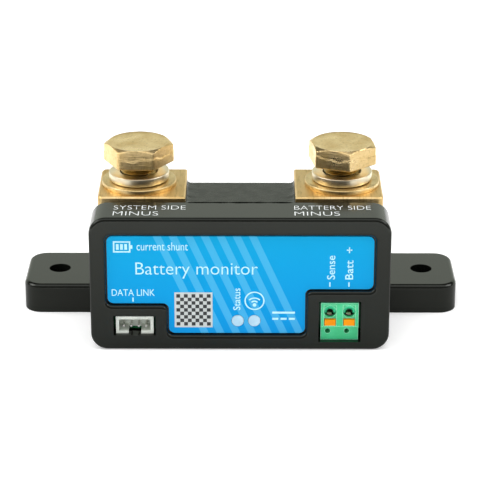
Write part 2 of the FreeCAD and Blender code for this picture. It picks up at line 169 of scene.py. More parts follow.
def blended(tree, factor, first, second):
    """A colour between two shades. Each shade is a colour or the output of another node."""
    node = tree.nodes.new("ShaderNodeMix")
    node.data_type = "RGBA"
    tree.links.new(factor, node.inputs[MIX_FACTOR])
    for index, shade in ((MIX_FIRST, first), (MIX_SECOND, second)):
        if isinstance(shade, tuple):
            node.inputs[index].default_value = shade + (1.0,)
        else:
            tree.links.new(shade, node.inputs[index])
    return node.outputs[MIX_RESULT]


def object_place(tree):
    """The X, Y and Z of a point of the surface, in metres."""
    place = tree.nodes.new("ShaderNodeTexCoord")
    split = tree.nodes.new("ShaderNodeSeparateXYZ")
    tree.links.new(place.outputs["Object"], split.inputs[0])
    return split.outputs


def new_finish(name):
    """An empty principled material."""
    finish = bpy.data.materials.new(name)
    finish.use_nodes = True
    return finish, finish.node_tree, finish.node_tree.nodes["Principled BSDF"]


# %% The world
WALL = (0.765, 0.816, 0.714)
DARK_GAP = (0.02, 0.02, 0.02)
CEILING = (1.3, 1.3, 1.3)
LOW_FRONT = (0.12, 0.12, 0.12)
FRONT = (0.3, 0.3, 0.3)
BANDS = ((0.0, WALL), (33.0, WALL), (40.0, DARK_GAP), (78.0, DARK_GAP), (84.0, CEILING), (122.0, CEILING),
         (128.0, LOW_FRONT), (180.0, FRONT))


def shade_world():
    """Bands of light, by the angle from the back horizon, over the top, to the front."""
    world = bpy.data.worlds.new("studio")
    bpy.context.scene.world = world
    world.use_nodes = True
    tree = world.node_tree
    background = tree.nodes["Background"]
    place = tree.nodes.new("ShaderNodeTexCoord")
    split = tree.nodes.new("ShaderNodeSeparateXYZ")
    tree.links.new(place.outputs["Generated"], split.inputs[0])
    turn = calculated(tree, "ARCTAN2", split.outputs["Z"], split.outputs["Y"])
    ramp = tree.nodes.new("ShaderNodeValToRGB")
    tree.links.new(calculated(tree, "DIVIDE", turn, math.pi), ramp.inputs["Fac"])
    stops = ramp.color_ramp.elements
    while len(stops) < len(BANDS):
        stops.new(0.5)
    for stop, (degrees, light) in zip(stops, BANDS):
        stop.position = degrees / 180.0
        stop.color = light + (1.0,)
    ray = tree.nodes.new("ShaderNodeLightPath")
    sky = blended(tree, ray.outputs["Is Camera Ray"], ramp.outputs["Color"], (1.0, 1.0, 1.0))
    tree.links.new(sky, background.inputs["Color"])
    background.inputs["Strength"].default_value = 1.0


shade_world()
print("light bands:", len(BANDS))

# %% [markdown]
# The floor is pale and matt, and glows very faintly, so that it stays white round the object
# without a lamp strong enough to burn out the brass.
#
# A studio lays a grey card close round a black product, out of shot, so that its lower faces
# stay deep and its upper faces pick up the bright table further out. This card is hidden from
# the camera and from diffuse light, and shows only in reflections.

# %% The floor and the grey card
FLOOR_REACH = 4.0
CARD_REACH = 0.115
CARD_BEHIND = 0.02
CARD_LIFT = 0.0002


def flat_sheet(name, low_corner, high_corner, z, paint):
    """A level rectangle that belongs to the studio, not to the object."""
    mesh = bpy.data.meshes.new(name)
    low_x, low_y = low_corner
    high_x, high_y = high_corner
    corners = [(low_x, low_y, z), (high_x, low_y, z), (high_x, high_y, z), (low_x, high_y, z)]
    mesh.from_pydata(corners, [], [(0, 1, 2, 3)])
    mesh.materials.append(paint)
    sheet = in_scene(name, mesh)
    return sheet


def lay_floor():
    """A wide pale floor that hardly mirrors."""
    paint, _, shader = new_finish("pale_floor")
    shader.inputs["Base Color"].default_value = (0.93, 0.93, 0.93, 1.0)
    shader.inputs["Emission Color"].default_value = (1.0, 1.0, 1.0, 1.0)
    shader.inputs["Emission Strength"].default_value = 0.22
    shader.inputs["Roughness"].default_value = 0.9
    shader.inputs["Specular IOR Level"].default_value = 0.1
    flat_sheet("floor", (-FLOOR_REACH, -FLOOR_REACH), (FLOOR_REACH, FLOOR_REACH), 0.0, paint)


def lay_card():
    """A card in front of the object, grey near it and white further out."""
    low, high = cad_box
    paint, tree, shader = new_finish("card_grey")
    fade = add_node(tree, "ShaderNodeMapRange", From_Min=low.y - 5 * MM, From_Max=low.y - CARD_REACH,
                    To_Min=0.55, To_Max=1.0)
    tree.links.new(object_place(tree)["Y"], fade.inputs["Value"])
    tree.links.new(fade.outputs["Result"], shader.inputs["Base Color"])
    shader.inputs["Roughness"].default_value = 1.0
    shader.inputs["Specular IOR Level"].default_value = 0.0
    card = flat_sheet("card", (low.x - CARD_REACH, low.y - CARD_REACH),
                      (high.x + CARD_REACH, high.y + CARD_BEHIND), CARD_LIFT, paint)
    card.visible_camera = False
    card.visible_diffuse = False
    card.visible_shadow = False
    card.visible_transmission = False


lay_floor()
lay_card()
print("studio ready")

# %% [markdown]
# ## Finishes
# A finish is never one flat value. Each one here mixes two close shades with noise, varies its
# roughness, and adds a fine bump at the scale of the real grain. The noise reads object
# coordinates, which are metres, so a scale of 3000 gives grains of about a third of a millimetre.

# %% The nodes that every finish shares
EDGE_RADIUS = 0.3 * MM
EVEN = (1.0, 1.0, 1.0)


def noise(tree, scale, stretch=EVEN, detail=3.0):
    """Noise in object space, optionally stretched into lines."""
    place = tree.nodes.new("ShaderNodeTexCoord")
    mapping = add_node(tree, "ShaderNodeMapping", Scale=stretch)
    texture = add_node(tree, "ShaderNodeTexNoise", Scale=scale, Detail=detail)
    tree.links.new(place.outputs["Object"], mapping.inputs["Vector"])
    tree.links.new(mapping.outputs["Vector"], texture.inputs["Vector"])
    return texture.outputs["Fac"]


def ranged(tree, value, low, high, start=0.3, end=0.7):
    """Maps a value between start and end onto low to high. Noise mostly lies in 0.3 to 0.7."""
    node = add_node(tree, "ShaderNodeMapRange", From_Min=start, From_Max=end, To_Min=low, To_Max=high)
    tree.links.new(value, node.inputs["Value"])
    return node.outputs["Result"]


def bumped(tree, shader, height, distance):
    """Adds a bump of a depth in metres to a shader."""
    node = add_node(tree, "ShaderNodeBump", Strength=1.0, Distance=distance)
    tree.links.new(height, node.inputs["Height"])
    tree.links.new(node.outputs["Normal"], shader.inputs["Normal"])


def highlight_edge_mask(tree, radius):
    """One along sharp edges and nought elsewhere, from how far a rounded normal leans. It places the painted
    edge highlight.
    """
    lean = add_node(tree, "ShaderNodeBevel", Radius=radius)
    true_normal = tree.nodes.new("ShaderNodeNewGeometry")
    dot = tree.nodes.new("ShaderNodeVectorMath")
    dot.operation = "DOT_PRODUCT"
    tree.links.new(lean.outputs["Normal"], dot.inputs[0])
    tree.links.new(true_normal.outputs["Normal"], dot.inputs[1])
    return ranged(tree, dot.outputs["Value"], 1.0, 0.0, start=0.86, end=0.99)


def grained(name, dark, light, patch, rough, grain, depth,
            metal=0.0, stretch=EVEN, coat=0.0, shine=0.5, tint=EVEN, edge=None):
    """The general finish: two shades in patches, a range of roughness and a fine grain. A given edge colour
    paints a highlight along sharp edges.
    """
    finish, tree, shader = new_finish(name)
    shade = blended(tree, ranged(tree, noise(tree, patch), 0.0, 1.0), dark, light)
    if edge:
        # painted highlight: a paler colour along sharp edges, for the light that edges catch
        shade = blended(tree, highlight_edge_mask(tree, EDGE_RADIUS), shade, edge)
    tree.links.new(shade, shader.inputs["Base Color"])
    spread = ranged(tree, noise(tree, patch * 3.0), rough[0], rough[1])
    tree.links.new(spread, shader.inputs["Roughness"])
    bumped(tree, shader, noise(tree, grain, stretch), depth)
    shader.inputs["Metallic"].default_value = metal
    shader.inputs["Specular IOR Level"].default_value = shine
    shader.inputs["Specular Tint"].default_value = tint + (1.0,)
    shader.inputs["Coat Weight"].default_value = coat
    shader.inputs["Coat Roughness"].default_value = 0.08
    return finish


# %% [markdown]
# ### Black mouldings
# The casing is black plastic from a spark-eroded mould: a satin surface with a very fine, even
# grain. The fill between the blocks is the same black, but it is matt and slightly uneven.

# %% Black plastic and black fill
GREENISH = (0.96, 1.0, 0.92)
casing_black = grained("casing_black", (0.0034, 0.0040, 0.0030), (0.0060, 0.0068, 0.0052), patch=60.0,
                       rough=(0.10, 0.16), grain=5200.0, depth=3 * MICRON, shine=0.42, tint=GREENISH)
fill_black = grained("fill_black", (0.0045, 0.0052, 0.0042), (0.0080, 0.0090, 0.0072), patch=160.0,
                     rough=(0.22, 0.34), grain=900.0, depth=30 * MICRON, shine=0.33, tint=GREENISH)
print("black finishes ready")

# %% [markdown]
# ### Brass
# The bolts are forged and left as they come: a warm, cloudy surface with fine pits. The blocks
# are milled, so their grain is stretched into faint lines along Y. The washers are a little
# deeper in colour. The threads carry painted shade: their brass is painted dark, for the shade
# under the head and between the ridges.


# %% Forged, milled and turned brass
def brass(name, cloud_stretch, grain, line_stretch, lines, rough, bright=(1.0, 0.75, 0.38),
          dull=(0.86, 0.60, 0.24), stain=(0.44, 0.29, 0.09)):
    """Bare brass with clouds of tarnish, a round grain and tool or die lines."""
    finish, tree, shader = new_finish(name)
    cloud = noise(tree, 220.0, cloud_stretch, 5.0)
    spots = noise(tree, 1500.0, cloud_stretch, 2.0)
    warm = blended(tree, ranged(tree, cloud, 0.0, 1.0, start=0.35, end=0.7), bright, dull)
    shade = blended(tree, ranged(tree, spots, 0.0, 0.5, start=0.52, end=0.8), warm, stain)
    tree.links.new(shade, shader.inputs["Base Color"])
    tree.links.new(ranged(tree, cloud, rough[0], rough[1]), shader.inputs["Roughness"])
    heights = calculated(tree, "MULTIPLY_ADD", noise(tree, 2600.0, line_stretch, 2.0), lines / grain,
                         noise(tree, 1600.0, detail=4.0))
    bumped(tree, shader, heights, grain)
    shader.inputs["Metallic"].default_value = 1.0
    return finish


forged_brass = brass("forged_brass", EVEN, grain=20 * MICRON, line_stretch=(0.08, 0.08, 1.0),
                     lines=40 * MICRON, rough=(0.25, 0.38))
milled_brass = brass("milled_brass", (1.0, 0.15, 0.3), grain=20 * MICRON, line_stretch=(1.0, 0.06, 0.3),
                     lines=60 * MICRON, rough=(0.38, 0.52))
turned_brass = brass("turned_brass", EVEN, grain=20 * MICRON, line_stretch=(1.0, 1.0, 0.2),
                     lines=10 * MICRON, rough=(0.32, 0.44),
                     bright=(0.92, 0.71, 0.36), dull=(0.77, 0.56, 0.25))
# painted shade: the thread brass is painted much darker than the other brass, for the shade under the head
thread_brass_painted_shade = brass("thread_brass_painted_shade", EVEN, grain=20 * MICRON, line_stretch=(1.0, 1.0, 0.2),
                     lines=10 * MICRON, rough=(0.32, 0.44),
                     bright=(0.50, 0.37, 0.14), dull=(0.34, 0.24, 0.08))
print("brass finishes ready")

# %% [markdown]
# ### Other metals
# The lock washers are plated spring steel, pale and faintly warm. Pins and contacts are tinned.
# The resistor strips are a coppery alloy with the oxide of brazing on them.

# %% Steel, tin and resistor alloy
ALONG_X = (0.1, 1.0, 1.0)
spring_steel = grained("spring_steel", (0.92, 0.80, 0.56), (0.98, 0.89, 0.68), patch=400.0,
                       rough=(0.32, 0.42), grain=1500.0, depth=6 * MICRON, metal=1.0)
# painted shade: the cage steel is painted near black, far darker than steel, for the shade deep in the wire
# entries
cage_steel_painted_shade = grained("cage_steel_painted_shade", (0.05, 0.05, 0.05), (0.10, 0.10, 0.09), patch=500.0,
                     rough=(0.25, 0.35), grain=1500.0, depth=10 * MICRON, metal=1.0)
screw_zinc = grained("screw_zinc", (0.45, 0.46, 0.47), (0.60, 0.61, 0.62), patch=300.0,
                     rough=(0.3, 0.42), grain=2600.0, depth=20 * MICRON, metal=1.0)
pin_tin = grained("pin_tin", (0.62, 0.61, 0.57), (0.74, 0.73, 0.69), patch=900.0,
                  rough=(0.2, 0.3), grain=3000.0, depth=10 * MICRON, metal=1.0)
strip_alloy = grained("strip_alloy", (0.42, 0.25, 0.16), (0.55, 0.36, 0.24), patch=260.0,
                      rough=(0.35, 0.5), grain=1800.0, depth=30 * MICRON, metal=1.0, stretch=ALONG_X)
can_tin = grained("can_tin", (0.56, 0.56, 0.54), (0.66, 0.66, 0.64), patch=300.0,
                  rough=(0.25, 0.35), grain=2000.0, depth=20 * MICRON, metal=1.0, stretch=ALONG_X)
print("metal finishes ready")

# %% [markdown]
# ### Small mouldings and the board
# The push-in terminal is satin green nylon with orange buttons, and the header is off-white
# nylon. These finishes carry a painted highlight: they are paler along sharp edges, for the light
# that the edges catch.

# %% Connector plastics and board parts
# painted highlight: the edge colours of the terminal, the buttons and the header paint a pale line along
# sharp edges
terminal_green = grained("terminal_green", (0.030, 0.48, 0.19), (0.055, 0.58, 0.26), patch=300.0,
                         rough=(0.34, 0.46), grain=3600.0, depth=30 * MICRON, edge=(0.42, 0.95, 0.66))
# painted light: the guide green is paler than the housing green, so that the guide's face in shade looks lit
guide_green_painted_light = grained("guide_green_painted_light", (0.03, 0.60, 0.30), (0.06, 0.70, 0.36), patch=300.0,
                      rough=(0.4, 0.5), grain=3600.0, depth=20 * MICRON)
button_orange = grained("button_orange", (0.76, 0.23, 0.0), (0.86, 0.29, 0.002), patch=500.0,
                        rough=(0.4, 0.5), grain=3600.0, depth=20 * MICRON, shine=0.15,
                        edge=(1.0, 0.52, 0.03))
header_nylon = grained("header_nylon", (0.56, 0.60, 0.54), (0.68, 0.71, 0.64), patch=300.0,
                       rough=(0.38, 0.5), grain=3600.0, depth=20 * MICRON, edge=(0.80, 0.84, 0.78))
board_mask = grained("board_mask", (0.01, 0.10, 0.035), (0.02, 0.17, 0.06), patch=180.0,
                     rough=(0.25, 0.35), grain=1200.0, depth=20 * MICRON, coat=0.4)
chip_resin = grained("chip_resin", (0.012, 0.012, 0.012), (0.02, 0.02, 0.02), patch=400.0,
                     rough=(0.5, 0.6), grain=4000.0, depth=20 * MICRON)
capacitor_clay = grained("capacitor_clay", (0.34, 0.23, 0.12), (0.46, 0.33, 0.18), patch=400.0,
                         rough=(0.4, 0.5), grain=3000.0, depth=20 * MICRON)
print("plastic finishes ready")

# %% [markdown]
# ### The status lights
# Two clear rods end flush with the label. Unlit, they look pale blue, because they gather light.

# %% Pale light rods
light_rod = grained("light_rod", (0.36, 0.56, 0.70), (0.46, 0.66, 0.78), patch=500.0,
                    rough=(0.3, 0.4), grain=1500.0, depth=10 * MICRON, shine=0.3)
print("light rods ready")

# %% [markdown]
# ### The label
# The label is a printed film. Its blue deepens towards the bottom, and a lighter blue pattern of
# slanted bars crosses the middle. The pattern is part of the material: a wave along a slanted
# line, kept between two ends.

# %% Printed blue film
BAR_PITCH = 4.2 * MM
BAR_LEAN = 0.45
BARS_START = -9.2 * MM
BARS_END = 20.5 * MM
BARS_FADE = 0.2 * MM
BAR_EDGE = 0.12
BAR_STRENGTH = 0.42
DEEP_BLUE = (0.0, 0.265, 0.645)
LIGHT_BLUE = (0.001, 0.335, 0.64)
PALE_BLUE = (0.12, 0.51, 0.76)


def printed_film(name, low, high):
    """Blue film with a gradient between two heights, and pale slanted bars."""
    finish, tree, shader = new_finish(name)
    place = object_place(tree)
    height = ranged(tree, place["Z"], 0.0, 1.0, low, high)
    blue = blended(tree, height, DEEP_BLUE, LIGHT_BLUE)
    slant = calculated(tree, "MULTIPLY_ADD", place["Z"], BAR_LEAN, place["X"])
    wave = calculated(tree, "SINE", calculated(tree, "MULTIPLY", slant, 2.0 * math.pi / BAR_PITCH))
    bars = ranged(tree, wave, 0.0, 1.0, -BAR_EDGE, BAR_EDGE)
    after_start = ranged(tree, slant, 0.0, 1.0, BARS_START, BARS_START + BARS_FADE)
    before_end = ranged(tree, slant, 1.0, 0.0, BARS_END, BARS_END + BARS_FADE)
    kept = calculated(tree, "MULTIPLY", calculated(tree, "MULTIPLY", after_start, before_end), bars)
    printed = blended(tree, calculated(tree, "MULTIPLY", kept, BAR_STRENGTH), blue, PALE_BLUE)
    tree.links.new(printed, shader.inputs["Base Color"])
    tree.links.new(ranged(tree, noise(tree, 900.0), 0.30, 0.38), shader.inputs["Roughness"])
    bumped(tree, shader, noise(tree, 2600.0), 10 * MICRON)
    shader.inputs["Specular IOR Level"].default_value = 0.1
    return finish


label_low, label_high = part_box("front_label")
label_film = printed_film("label_film", label_low.z, label_high.z)
print("label height, mm:", round((label_high.z - label_low.z) / MM, 1))


# %% Ink
def ink(name, dark, light):
    """Screen-printed ink: matt, with a very fine grain."""
    return grained(name, dark, light, patch=900.0, rough=(0.5, 0.6), grain=4000.0, depth=5 * MICRON)


white_ink = ink("white_ink", (0.80, 0.84, 0.84), (0.90, 0.92, 0.92))
label_ink = ink("label_ink", (0.42, 0.74, 0.86), (0.50, 0.82, 0.92))
patch_ink = ink("patch_ink", (0.50, 0.53, 0.52), (0.56, 0.59, 0.58))
dark_ink = ink("dark_ink", (0.020, 0.022, 0.024), (0.032, 0.034, 0.036))
print("inks ready")

# %% [markdown]
# ## Finishes on the CAD pieces
# Pieces whose CAD shape is right keep it. A small bevel rounds their edges as a mould or a
# file would, so that the edges catch the light. A modifier doesn't change the CAD mesh itself.

# %% Give each CAD node its finish
finishes = {
    "base_casing": casing_black,
    "front_cover": casing_black,
    "rear_plate": casing_black,
    "centre_cover": fill_black,
    "left_block": milled_brass,
    "right_block": milled_brass,
    "resistor_strips": strip_alloy,
    "circuit_board": board_mask,
    "radio_module": can_tin,
    "processor_chip": chip_resin,
    "board_capacitors": capacitor_clay,
    "board_resistors": chip_resin,
    "status_lights": light_rod,
    "light_pipes": light_rod,
    "front_label": label_film,
    "data_header": header_nylon,
    "data_header_pins": pin_tin,
    "terminal_housing": terminal_green,
    "left_release_button": button_orange,
    "right_release_button": button_orange,
    "clamp_springs": spring_steel,
    "terminal_contacts": pin_tin,
    "sense_posts": turned_brass,
    "sense_screws": screw_zinc,
    "cover_screws": screw_zinc,
    "block_screws": screw_zinc,
}
bevels = {
    "left_block": 0.35,
    "right_block": 0.35,
    "data_header": 0.15,
    "terminal_housing": 0.2,
    "data_header_pins": 0.1,
    "radio_module": 0.3,
    "processor_chip": 0.1,
    "board_capacitors": 0.2,
    "board_resistors": 0.1,
}


def round_edges(piece, width):
    """Bevels the sharp edges by a width in millimetres."""
    bevel = piece.modifiers.new("edges", "BEVEL")
    bevel.width = width * MM
    bevel.segments = 3
    bevel.limit_method = "ANGLE"
    bevel.angle_limit = math.radians(50.0)
    bevel.harden_normals = False


for name, finish in finishes.items():
    nodes[name].data.materials.clear()
    nodes[name].data.materials.append(finish)
    if name in bevels:
        round_edges(nodes[name], bevels[name])
print("finished CAD nodes:", len(finishes))

# %% [markdown]
# ## Round pieces with threads and twists
# Bolts and washers are built as a grid of points: one direction goes round the axis and the
# other along the outline. A formula gives each point's radius, so the same few lines make a
# hexagon head with its chamfer, a screw thread, or a lock washer that climbs as it goes round.

# %% A mesh from a grid of points
AROUND = 120


def ring(centre, z, radius_at, count=AROUND):
    """A ring of points round an upright axis. radius_at gives the radius at an angle."""
    row = []
    for i in range(count):
        angle = 2.0 * math.pi * i / count
        r = radius_at(angle)
        row.append((centre.x + r * math.cos(angle), centre.y + r * math.sin(angle), z))
    return row


def grid_mesh(name, rows, closed_round=True, caps=False):
    """A skin over rows of points. Each row is one ring; caps close the first and last."""
    work = bmesh.new()
    rings = [[work.verts.new(point) for point in row] for row in rows]
    for lower, upper in zip(rings, rings[1:]):
        count = len(lower)
        last = count if closed_round else count - 1
        for i in range(last):
            j = (i + 1) % count
            work.faces.new((lower[i], lower[j], upper[j], upper[i]))
    if caps:
        work.faces.new(list(reversed(rings[0])))
        work.faces.new(rings[-1])
    bmesh.ops.recalc_face_normals(work, faces=work.faces)
    mesh = bpy.data.meshes.new(name)
    work.to_mesh(mesh)
    work.free()
    return in_scene(name, mesh)


def smooth(piece, angle):
    """Smooth shading with sharp edges kept above an angle."""
    mesh = piece.data
    mesh.polygons.foreach_set("use_smooth", [True] * len(mesh.polygons))
    mesh.set_sharp_from_angle(angle=math.radians(angle))


def finished(piece, finish, body):
    """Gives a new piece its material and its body."""
    piece.data.materials.append(finish)
    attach(piece, body)


# %% [markdown]
# ### Terminal bolts
# Each head is a hexagon 17 mm across its flats, hot-forged. The die leaves a chamfered crown, a
# shallow dish on top and a ragged line round the flats, where it tore the metal. Above that line
# the head is a tenth of a millimetre smaller. Under the head is a full M10 thread.

# %% The forged head
HEX_FLATS = 17.0 * MM
HEX_CORNER_ROUND = 0.12 * MM
HEAD_HEIGHT = 5.5 * MM
HEAD_AROUND = 240
HEAD_RINGS = 34
CROWN_SHARE = 0.975
CROWN_ANGLE = 30.0
CROWN_FROM = 0.3
TORN_DEPTH = 0.11 * MM
TORN_RISE = 0.05
UNDER_HEAD = ((0.0, 0.93), (0.0, 0.985))
DISH = ((0.985, 0.02), (0.95, 0.07), (0.8, 0.10), (0.5, 0.12), (0.2, 0.13), (0.02, 0.13))


def hexagon_radius(angle):
    """The distance from the axis to a hexagon with slightly rounded corners."""
    sector = math.radians(60.0)
    past_flat = (angle + sector / 2) % sector - sector / 2
    from_corner = sector / 2 - abs(past_flat)
    flat = HEX_FLATS / 2 / math.cos(from_corner)
    return min(flat, HEX_FLATS / math.sqrt(3) - HEX_CORNER_ROUND)


def torn_line(angle):
    """The ragged height, as a share of the head, where the forging die tore the metal."""
    slow = 0.07 * math.sin(5.0 * angle + 1.0)
    return 0.50 + slow + 0.03 * math.sin(13.0 * angle + 2.0) + 0.012 * math.sin(31.0 * angle)


def head_rows(centre, low, high, turn):
    """Rings of the head from its underside to the middle of its top."""
    crown = HEX_FLATS / 2 * CROWN_SHARE
    slope = math.tan(math.radians(CROWN_ANGLE))
    sides = [(0.03 + 0.97 * k / HEAD_RINGS, 1.0) for k in range(HEAD_RINGS + 1)]
    rows = []
    for share, scale in list(UNDER_HEAD) + sides:
        z = low + (high - low) * share
        cone = crown + (high - z) / slope if share > CROWN_FROM else HEX_FLATS

        def radius_at(angle):
            torn = min(max((share - torn_line(angle)) / TORN_RISE, 0.0), 1.0)
            return min(hexagon_radius(angle - turn) * scale - TORN_DEPTH * torn, cone)

        rows.append(ring(centre, z, radius_at, HEAD_AROUND))
    for share, sink in DISH:
        rows.append(ring(centre, high - sink * MM, lambda angle: crown * share, HEAD_AROUND))
    return rows


# %% The thread
THREAD_PITCH = 1.5 * MM
THREAD_STEP = 0.125 * MM
THREAD_CORE = 4.12 * MM
THREAD_DEPTH = 0.83 * MM
END_RADIUS = 4.0 * MM
END_SLOPE = 0.9
RIDGE_GAIN = 1.25
RIDGE_CUT = 0.1


def thread_rows(centre, low, high):
    """Rings of an M10 thread, from a chamfered end up to the head."""
    steps = int((high - low) / THREAD_STEP)
    rows = []
    for k in range(steps + 1):
        z = low + (high - low) * k / steps

        def radius_at(angle):
            phase = (z / THREAD_PITCH - angle / (2.0 * math.pi)) % 1.0
            wave = 1.0 - abs(2.0 * phase - 1.0)
            ridge = min(max(wave * RIDGE_GAIN - RIDGE_CUT, 0.0), 1.0)
            return min(THREAD_CORE + THREAD_DEPTH * ridge, END_RADIUS + END_SLOPE * (z - low))

        rows.append(ring(centre, z, radius_at))
    return rows


# %% Build both bolts
THREAD_INTO_HEAD = 0.2 * MM


def build_bolt(side, turn):
    """One forged bolt, in place of its plain CAD solid."""
    node = side + "_bolt"
    low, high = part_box(node)
    washer_low, washer_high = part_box(side + "_flat_washer")
    centre = (washer_low + washer_high) / 2
    under_head = high.z - HEAD_HEIGHT
    head = grid_mesh(node + "_head", head_rows(centre, under_head, high.z, math.radians(turn)), caps=True)
    shank = grid_mesh(node + "_thread", thread_rows(centre, low.z, under_head + THREAD_INTO_HEAD), caps=True)
    smooth(head, 28.0)
    smooth(shank, 50.0)
    finished(head, forged_brass, node)
    finished(shank, thread_brass_painted_shade, node)
    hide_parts(node)
    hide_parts(node)


build_bolt("left", -3.0)
build_bolt("right", -20.0)
print("bolts built, points round each head:", HEAD_AROUND)

# %% [markdown]
# ### Washers
# The plain washer is stamped, so its upper edge is rolled over. The lock washer is a
# square-section ring, split at the back, whose ends stand a little apart in height.

# %% Plain washers
WASHER_HOLE = 5.2 * MM
WASHER_ROLL = 0.45 * MM
WASHER_BREAK = 0.15 * MM
ROLL_STEPS = 6


def weld(piece):
    """Joins points that lie on each other."""
    work = bmesh.new()
    work.from_mesh(piece.data)
    bmesh.ops.remove_doubles(work, verts=work.verts, dist=1e-6)
    bmesh.ops.recalc_face_normals(work, faces=work.faces)
    work.to_mesh(piece.data)
    work.free()


def build_flat_washer(side):
    """A stamped washer with a rolled upper edge."""
    node = side + "_flat_washer"
    low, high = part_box(node)
    outer = (high.x - low.x) / 2
    thick = high.z - low.z
    outline = [(WASHER_HOLE, 0.0), (outer - 0.1 * MM, 0.0), (outer, 0.12 * MM), (outer, thick - WASHER_ROLL)]
    for i in range(1, ROLL_STEPS + 1):
        a = math.radians(90.0 * i / ROLL_STEPS)
        outline.append((outer - WASHER_ROLL + WASHER_ROLL * math.cos(a),
                        thick - WASHER_ROLL + WASHER_ROLL * math.sin(a)))
    outline += [(WASHER_HOLE + WASHER_BREAK, thick), (WASHER_HOLE, thick - WASHER_BREAK)]
    rows = [ring((low + high) / 2, low.z + z, lambda angle: r) for r, z in outline + outline[:1]]
    piece = grid_mesh(node + "_stamped", rows)
    weld(piece)
    smooth(piece, 35.0)
    finished(piece, turned_brass, "casing")
    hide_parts(node)


for side in SIDES:
    build_flat_washer(side)
print("flat washers built")

# %% Lock washers
SPRING_HOLE = 5.25 * MM
SPRING_CLIMB = 0.45 * MM
SPRING_ROUND = 0.28 * MM
SPRING_HALF_GAP = 5.5


def build_spring_washer(side):
    """A split ring that climbs as it goes round, in the height of the CAD ring."""
    node = side + "_spring_washer"
    low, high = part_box(node)
    centre = (low + high) / 2
    far = (high.x - low.x) / 2 - SPRING_ROUND
    near = SPRING_HOLE + SPRING_ROUND
    upper = high.z - low.z - SPRING_CLIMB - SPRING_ROUND
    section = []
    for cx, cz, start in ((far, upper, 0.0), (near, upper, 90.0), (near, SPRING_ROUND, 180.0),
                          (far, SPRING_ROUND, 270.0)):
        for k in range(4):
            a = math.radians(start + 30.0 * k)
            section.append((cx + SPRING_ROUND * math.cos(a), cz + SPRING_ROUND * math.sin(a)))
    rows = []
    for k in range(AROUND + 1):
        share = k / AROUND
        angle = math.radians(90.0 + SPRING_HALF_GAP + (360.0 - 2.0 * SPRING_HALF_GAP) * share)
        rows.append([(centre.x + r * math.cos(angle), centre.y + r * math.sin(angle),
                      low.z + SPRING_CLIMB * share + z) for r, z in section])
    piece = grid_mesh(node + "_twisted", rows, caps=True)
    smooth(piece, 40.0)
    finished(piece, spring_steel, node)
    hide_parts(node)


for side in SIDES:
    build_spring_washer(side)
print("lock washers built")

# %% [markdown]
# ### Wire entries
# Behind each round mouth a green guide slopes in and down, and leads the wire into a steel
# cage, where the bent lip of the clamp waits. Each is a patch of rings inside the CAD hole.
# The guide's green is paler than the housing's, as painted light on a face that lies in shade.
# The cage is real, but its steel is painted near black, as painted shade deep in the hole.

# %% Guide, cage and lip of one entry
GUIDE_RINGS = ((-0.8, 1.5, 0.0), (-0.45, 1.2, 0.3), (-0.1, 0.9, 0.62))
CAGE_RINGS = ((-0.75, 1.46, 0.0), (2.6, 1.44, 0.0))
LIP_RINGS = ((-0.35, 1.3, 0.0), (0.25, 1.0, 0.02), (0.4, 0.7, 0.0))
PATCH_STEPS = 20
PATCH_WALL = 0.08 * MM


def entry_patch(name, mount, rings, start, end, finish):
    """A curved sheet in an entry, from rings of depth, radius and drop between two angles."""
    x, mouth, z = mount["pos_m"]
    rows = []
    for depth, radius, drop in rings:
        row = []
        for k in range(PATCH_STEPS + 1):
            a = math.radians(start + (end - start) * k / PATCH_STEPS)
            row.append((x + radius * math.cos(a) * MM, mouth + depth * MM,
                        z + (radius * math.sin(a) - drop) * MM))
        rows.append(row)
    piece = grid_mesh(name, rows, closed_round=False)
    smooth(piece, 50.0)
    wall = piece.modifiers.new("wall", "SOLIDIFY")
    wall.thickness = PATCH_WALL
    wall.offset = 0.0
    finished(piece, finish, "casing")


def build_entry(side):
    """Everything that shows inside one wire entry."""
    mount = [m for m in frame["record"]["mounts"] if m["name"] == side + "_wire_entry"][0]
    entry_patch(side + "_entry_guide", mount, GUIDE_RINGS, -20.0, 200.0, guide_green_painted_light)
    entry_patch(side + "_entry_cage", mount, CAGE_RINGS, 175.0, 365.0, cage_steel_painted_shade)
    entry_patch(side + "_clamp_lip", mount, LIP_RINGS, 232.0, 292.0, spring_steel)


for side in SIDES:
    build_entry(side)
print("wire entries built")

# %% [markdown]
# ## Beads of sealant
# Black sealant creeps a little way up the inner face of each block and along the seam behind
# the front cover. Each bead is a strip with a curved section whose height wavers.

# %% One bead
BEAD_STEPS = 40
BEAD_ARC = 6
BEAD_ROOT = Vector((0.0, 0.0, 0.3 * MM))
BEAD_INTO_WALL = 0.03 * MM


def bead(name, start, end, out, height, width, seed):
    """A wavering fillet of sealant along a straight corner."""
    dice = random.Random(seed)
    start = Vector(start)
    along = Vector(end) - start
    out = Vector(out)
    wander = [dice.uniform(0.75, 1.15) for _ in range(BEAD_STEPS + 1)]
    rows = []
    for k in range(BEAD_STEPS + 1):
        point = start + along * (k / BEAD_STEPS)
        calm = (wander[max(k - 1, 0)] + wander[k] + wander[min(k + 1, BEAD_STEPS)]) / 3
        size = calm * min(1.0, k / 3 + 0.3, (BEAD_STEPS - k) / 3 + 0.3)
        row = [point - BEAD_ROOT - out * BEAD_INTO_WALL]
        for i in range(BEAD_ARC + 1):
            a = math.radians(90.0 * i / BEAD_ARC)
            rise = height * size * (1.0 - math.sin(a)) ** 1.3
            reach = width * size * (1.0 - math.cos(a)) ** 1.3
            row.append(point + out * reach + Vector((0.0, 0.0, rise)))
        row.append(point + out * width * size - BEAD_ROOT)
        rows.append(row)
    piece = grid_mesh(name, rows, caps=True)
    smooth(piece, 50.0)
    finished(piece, fill_black, "casing")


